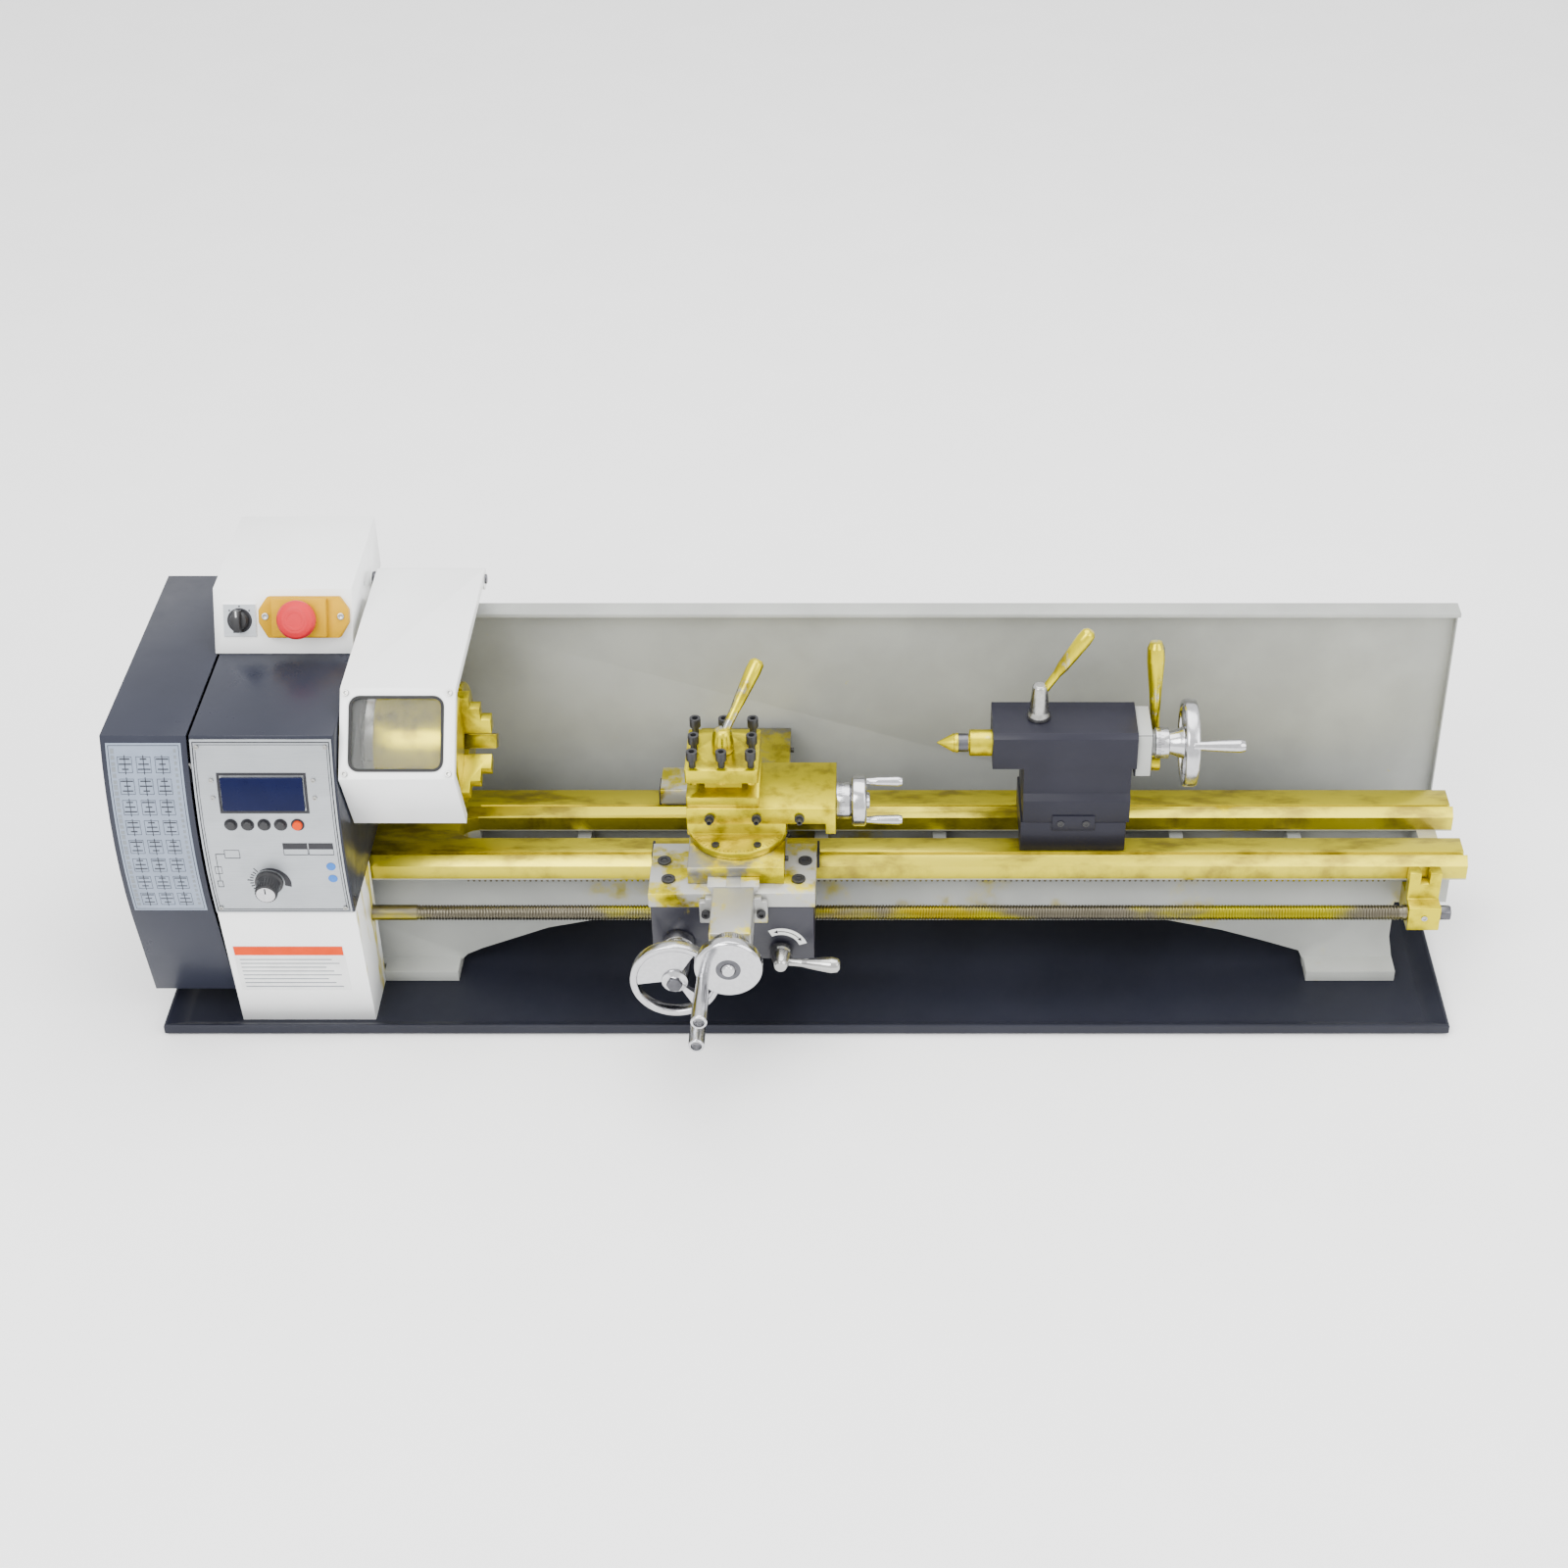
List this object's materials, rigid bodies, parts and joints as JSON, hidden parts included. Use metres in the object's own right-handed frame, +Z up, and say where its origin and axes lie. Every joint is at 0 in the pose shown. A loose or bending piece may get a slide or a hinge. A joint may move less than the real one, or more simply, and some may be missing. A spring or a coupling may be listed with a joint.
{
  "type": "metal lathe",
  "caption": "Bench metal lathe with a variable-speed headstock, guarded three-jaw chuck, screw-fed carriage with compound slide and tool post, and a tailstock on a long bed over a chip tray.",
  "frame": {"origin": "on the underside of the chip tray, straight below the spindle axis, 660 mm from each end of the tray", "axes": "+X along the bed from the headstock to the tailstock, +Y away from the operator, +Z up"},
  "size_m": [1.346, 0.499, 0.4267],
  "materials": {
    "apron": "dark slate paint",
    "apron_gear": "turned bright steel",
    "apron_handwheel": "turned and polished aluminium",
    "back_splash": "pale grey enamel",
    "banjo": "dark slate paint",
    "base_cabinet": "smooth white powder coat",
    "bed": "pale grey paint with bright ground ways under yellow rust-preventive grease",
    "centre": "turned bright steel",
    "chuck_body": "turned bright steel",
    "chuck_guard": "smooth white powder coat",
    "chuck_jaw_1": "turned bright steel",
    "chuck_jaw_2": "turned bright steel",
    "chuck_jaw_3": "turned bright steel",
    "clamp_lever": "bright steel under yellow rust-preventive grease",
    "control_panel": "brushed panel plate",
    "cross_handwheel": "turned and polished aluminium",
    "cross_housing": "pale grey casting",
    "cross_slide": "ground iron under yellow rust-preventive grease",
    "display": "dark blue unlit display",
    "drive_belt": "black drive belt",
    "electrics_box": "smooth white powder coat",
    "gear_cover": "dark slate hammer enamel",
    "guard_rod": "turned bright steel",
    "guard_window": "clear window sheet",
    "half_nut_lever": "turned bright steel",
    "half_nut_lower": "bronze half nut",
    "half_nut_upper": "bronze half nut",
    "headstock_casting": "dark slate paint",
    "headstock_cover": "dark slate hammer enamel",
    "idler_gear": "turned bright steel",
    "key_1": "black moulded plastic",
    "key_2": "black moulded plastic",
    "key_3": "black moulded plastic",
    "key_4": "black moulded plastic",
    "leadscrew": "turned bright steel",
    "motor": "black motor housing",
    "motor_pulley": "turned bright steel",
    "quill": "turned bright steel",
    "quill_lock": "bright steel under yellow rust-preventive grease",
    "rack": "turned bright steel",
    "run_key": "orange push button",
    "saddle": "ground iron with traces of yellow grease",
    "screw_bracket": "ground iron under yellow rust-preventive grease",
    "selector_switch": "black moulded plastic",
    "speed_knob": "black moulded plastic",
    "spindle": "turned bright steel",
    "spindle_pulley": "turned and polished aluminium",
    "stop_lid": "yellow moulded plastic",
    "stop_mushroom": "red moulded plastic",
    "stop_station": "yellow moulded plastic",
    "stud_gear": "turned bright steel",
    "swivel_base": "ground iron under yellow rust-preventive grease",
    "tail_handwheel": "turned and polished aluminium",
    "tailstock_base": "dark slate paint",
    "tailstock_body": "dark slate paint",
    "tool_post": "bright steel under yellow rust-preventive grease",
    "tool_post_lever": "bright steel under yellow rust-preventive grease",
    "top_handwheel": "turned and polished aluminium",
    "top_slide": "ground iron under yellow rust-preventive grease",
    "tray": "gloss enamel, dark navy grey"
  },
  "bodies": {
    "frame": {"tray": "tray", "back_splash": "back_splash", "bed": "bed", "rack": "rack", "headstock_casting": "headstock_casting", "headstock_cover": "headstock_cover", "base_cabinet": "base_cabinet", "control_panel": "control_panel", "display": "display", "electrics_box": "electrics_box", "stop_station": "stop_station", "motor": "motor", "banjo": "banjo", "screw_bracket": "screw_bracket", "guard_rod": "guard_rod", "drive_belt": "drive_belt"},
    "spindle": {"spindle": "spindle", "spindle_pulley": "spindle_pulley", "chuck_body": "chuck_body"},
    "jaw_1": {"chuck_jaw_1": "chuck_jaw_1"},
    "jaw_2": {"chuck_jaw_2": "chuck_jaw_2"},
    "jaw_3": {"chuck_jaw_3": "chuck_jaw_3"},
    "motor_shaft": {"motor_pulley": "motor_pulley"},
    "idler": {"idler_gear": "idler_gear"},
    "stud": {"stud_gear": "stud_gear"},
    "feed_screw": {"leadscrew": "leadscrew"},
    "guard": {"chuck_guard": "chuck_guard", "guard_window": "guard_window"},
    "gear_cover": {"gear_cover": "gear_cover"},
    "key_1": {"key_1": "key_1"},
    "key_2": {"key_2": "key_2"},
    "key_3": {"key_3": "key_3"},
    "key_4": {"key_4": "key_4"},
    "run_key": {"run_key": "run_key"},
    "knob": {"speed_knob": "speed_knob"},
    "selector": {"selector_switch": "selector_switch"},
    "lid": {"stop_lid": "stop_lid"},
    "mushroom": {"stop_mushroom": "stop_mushroom"},
    "carriage": {"saddle": "saddle", "apron": "apron", "cross_housing": "cross_housing"},
    "carriage_wheel": {"apron_handwheel": "apron_handwheel"},
    "carriage_gear": {"apron_gear": "apron_gear"},
    "nut_lever": {"half_nut_lever": "half_nut_lever"},
    "nut_upper": {"half_nut_upper": "half_nut_upper"},
    "nut_lower": {"half_nut_lower": "half_nut_lower"},
    "cross_wheel": {"cross_handwheel": "cross_handwheel"},
    "cross_slide": {"cross_slide": "cross_slide"},
    "swivel": {"swivel_base": "swivel_base"},
    "top_slide": {"top_slide": "top_slide"},
    "top_wheel": {"top_handwheel": "top_handwheel"},
    "tool_post": {"tool_post": "tool_post"},
    "post_lever": {"tool_post_lever": "tool_post_lever"},
    "tailstock": {"tailstock_base": "tailstock_base", "tailstock_body": "tailstock_body"},
    "quill": {"quill": "quill", "centre": "centre"},
    "tail_wheel": {"tail_handwheel": "tail_handwheel"},
    "quill_lock": {"quill_lock": "quill_lock"},
    "tail_clamp": {"clamp_lever": "clamp_lever"}
  },
  "joints": [
    {"name": "spindle_turn", "type": "hinge", "parent": "frame", "child": "spindle", "pos_m": [0, 0, 0.259], "axis": [1, 0, 0], "continuous": true},
    {"name": "jaw_1_slide", "type": "slide", "parent": "spindle", "child": "jaw_1", "axis": [0, 0, 1], "range_m": [-0.008, 0.008]},
    {"name": "jaw_2_slide", "type": "slide", "parent": "spindle", "child": "jaw_2", "axis": [0, -0.866, -0.5], "range_m": [-0.008, 0.008]},
    {"name": "jaw_3_slide", "type": "slide", "parent": "spindle", "child": "jaw_3", "axis": [0, 0.866, -0.5], "range_m": [-0.008, 0.008]},
    {"name": "motor_turn", "type": "hinge", "parent": "frame", "child": "motor_shaft", "pos_m": [-0.603, 0.1046, 0.205], "axis": [1, 0, 0], "continuous": true},
    {"name": "idler_turn", "type": "hinge", "parent": "frame", "child": "idler", "pos_m": [-0.637, -0.04919, 0.23672], "axis": [1, 0, 0], "continuous": true},
    {"name": "stud_turn", "type": "hinge", "parent": "frame", "child": "stud", "pos_m": [-0.637, -0.06314, 0.16915], "axis": [1, 0, 0], "continuous": true},
    {"name": "feed_screw_turn", "type": "hinge", "parent": "frame", "child": "feed_screw", "pos_m": [0, -0.081, 0.1025], "axis": [1, 0, 0], "continuous": true},
    {"name": "guard_lift", "type": "hinge", "parent": "frame", "child": "guard", "pos_m": [-0.388, 0.131, 0.374], "axis": [-1, 0, 0], "range_deg": [0, 95]},
    {"name": "gear_cover_open", "type": "hinge", "parent": "frame", "child": "gear_cover", "pos_m": [-0.5865, 0.161, 0.2], "axis": [0, 0, -1], "range_deg": [0, 100]},
    {"name": "key_1_press", "type": "slide", "parent": "frame", "child": "key_1", "axis": [0, 0.9941, -0.1089], "range_m": [0, 0.002], "stiffness_N_per_m": 400},
    {"name": "key_2_press", "type": "slide", "parent": "frame", "child": "key_2", "axis": [0, 0.9941, -0.1089], "range_m": [0, 0.002], "stiffness_N_per_m": 400},
    {"name": "key_3_press", "type": "slide", "parent": "frame", "child": "key_3", "axis": [0, 0.9941, -0.1089], "range_m": [0, 0.002], "stiffness_N_per_m": 400},
    {"name": "key_4_press", "type": "slide", "parent": "frame", "child": "key_4", "axis": [0, 0.9941, -0.1089], "range_m": [0, 0.002], "stiffness_N_per_m": 400},
    {"name": "run_key_press", "type": "slide", "parent": "frame", "child": "run_key", "axis": [0, 0.9941, -0.1089], "range_m": [0, 0.002], "stiffness_N_per_m": 400},
    {"name": "speed_turn", "type": "hinge", "parent": "frame", "child": "knob", "pos_m": [-0.524, -0.15706, 0.203], "axis": [0, -0.9984, -0.0568], "range_deg": [-45, 225]},
    {"name": "selector_turn", "type": "hinge", "parent": "frame", "child": "selector", "pos_m": [-0.562, 0.02288, 0.39151], "axis": [0, -0.896, 0.4441], "range_deg": [-45, 45]},
    {"name": "stop_lid_lift", "type": "hinge", "parent": "frame", "child": "lid", "pos_m": [-0.499, 0.0223, 0.41803], "axis": [-1, 0, 0], "range_deg": [0, 80]},
    {"name": "stop_press", "type": "slide", "parent": "lid", "child": "mushroom", "axis": [0, 0.896, -0.4441], "range_m": [0, 0.003]},
    {"name": "carriage_wheel_turn", "type": "hinge", "parent": "carriage", "child": "carriage_wheel", "pos_m": [-0.127, -0.2, 0.115], "axis": [0, 1, 0], "range_deg": [-2330, 1790]},
    {"name": "carriage_travel", "type": "slide", "parent": "frame", "child": "carriage", "axis": [1, 0, 0], "range_m": [-0.15, 0.115]},
    {"name": "carriage_gear_turn", "type": "hinge", "parent": "carriage", "child": "carriage_gear", "pos_m": [-0.091, -0.09, 0.1154], "axis": [0, 1, 0], "range_deg": [-900, 1170]},
    {"name": "nut_lever_turn", "type": "hinge", "parent": "carriage", "child": "nut_lever", "pos_m": [-0.024, -0.15, 0.106], "axis": [0, 1, 0], "range_deg": [0, 27]},
    {"name": "nut_upper_close", "type": "slide", "parent": "carriage", "child": "nut_upper", "axis": [0, 0, -1], "range_m": [0, 0.0087]},
    {"name": "nut_lower_close", "type": "slide", "parent": "carriage", "child": "nut_lower", "axis": [0, 0, 1], "range_m": [0, 0.0087]},
    {"name": "cross_wheel_turn", "type": "hinge", "parent": "carriage", "child": "cross_wheel", "pos_m": [-0.07, -0.24, 0.17], "axis": [0, 1, 0], "range_deg": [-15310, 730]},
    {"name": "cross_travel", "type": "slide", "parent": "carriage", "child": "cross_slide", "axis": [0, 1, 0], "range_m": [-0.085, 0.004]},
    {"name": "swivel_turn", "type": "hinge", "parent": "cross_slide", "child": "swivel", "pos_m": [-0.068, -0.066, 0.2], "axis": [0, 0, 1], "range_deg": [-45, 45]},
    {"name": "top_wheel_turn", "type": "hinge", "parent": "top_slide", "child": "top_wheel", "pos_m": [0.04, -0.048, 0.221], "axis": [1, 0, 0], "range_deg": [-6310, 3610]},
    {"name": "top_travel", "type": "slide", "parent": "swivel", "child": "top_slide", "axis": [1, 0, 0], "range_m": [-0.035, 0.02]},
    {"name": "post_turn", "type": "hinge", "parent": "top_slide", "child": "tool_post", "pos_m": [-0.0815, -0.0465, 0.26], "axis": [0, 0, 1], "range_deg": [-180, 180]},
    {"name": "post_lever_turn", "type": "hinge", "parent": "top_slide", "child": "post_lever", "pos_m": [-0.0815, -0.0465, 0.29], "axis": [0, 0, 1], "range_deg": [-60, 120]},
    {"name": "tailstock_travel", "type": "slide", "parent": "frame", "child": "tailstock", "axis": [1, 0, 0], "range_m": [-0.08, 0.25]},
    {"name": "tail_wheel_turn", "type": "hinge", "parent": "tailstock", "child": "tail_wheel", "pos_m": [0.362, 0, 0.259], "axis": [-1, 0, 0], "range_deg": [0, 7210]},
    {"name": "quill_travel", "type": "slide", "parent": "tailstock", "child": "quill", "axis": [-1, 0, 0], "range_m": [0, 0.06]},
    {"name": "quill_lock_turn", "type": "hinge", "parent": "tailstock", "child": "quill_lock", "pos_m": [0.236, 0, 0.3], "axis": [0, 0, 1], "range_deg": [-50, 50]},
    {"name": "tail_clamp_turn", "type": "hinge", "parent": "tailstock", "child": "tail_clamp", "pos_m": [0.358, 0.02, 0.222], "axis": [-1, 0, 0], "range_deg": [0, 30]}
  ],
  "couplings": [
    {"joint": "jaw_2_slide", "follows": "jaw_1_slide", "ratio": 1},
    {"joint": "jaw_3_slide", "follows": "jaw_1_slide", "ratio": 1},
    {"joint": "motor_turn", "follows": "spindle_turn", "ratio": 2},
    {"joint": "idler_turn", "follows": "spindle_turn", "ratio": -1.25},
    {"joint": "stud_turn", "follows": "spindle_turn", "ratio": 0.66667},
    {"joint": "feed_screw_turn", "follows": "spindle_turn", "ratio": -0.29167},
    {"joint": "carriage_wheel_turn", "follows": "carriage_travel", "rad_per_m": 270.27},
    {"joint": "carriage_gear_turn", "follows": "carriage_travel", "rad_per_m": -135.14},
    {"joint": "nut_lower_close", "follows": "nut_upper_close", "ratio": 1},
    {"joint": "nut_lever_turn", "follows": "nut_upper_close", "rad_per_m": 52.632},
    {"joint": "cross_wheel_turn", "follows": "cross_travel", "rad_per_m": 3141.6},
    {"joint": "top_wheel_turn", "follows": "top_travel", "rad_per_m": 3141.6},
    {"joint": "tail_wheel_turn", "follows": "quill_travel", "rad_per_m": 2094.4}
  ]
}
